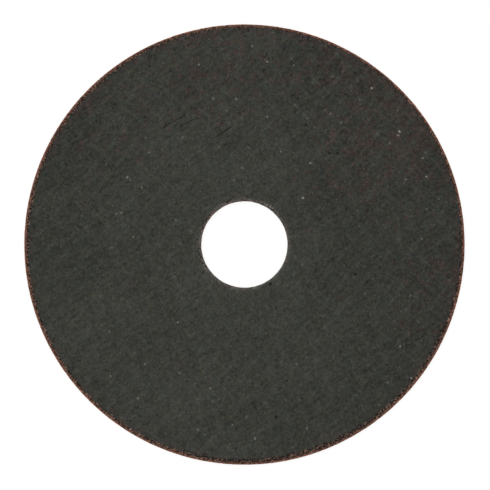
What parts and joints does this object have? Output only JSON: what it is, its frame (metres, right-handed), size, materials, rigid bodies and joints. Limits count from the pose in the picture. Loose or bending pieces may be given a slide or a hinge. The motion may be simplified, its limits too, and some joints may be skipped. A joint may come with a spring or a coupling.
{
  "type": "cut off wheel",
  "caption": "Thin flat round abrasive cutting disc with a plain central bore and a glass fibre mesh pressed into both faces.",
  "frame": {"origin": "on the wheel's axis, in the plane of its lower face", "axes": "+Z along the axis out of the upper face that the picture shows, +X to the picture's right, +Y to its top"},
  "size_m": [0.1142, 0.1142, 0.0011],
  "materials": {
    "resin_bonded_abrasive": "matt, gritty, dark grey with a reddish brown bare rim"
  },
  "bodies": {
    "root": {"cut_off_wheel": "resin_bonded_abrasive"}
  },
  "joints": []
}
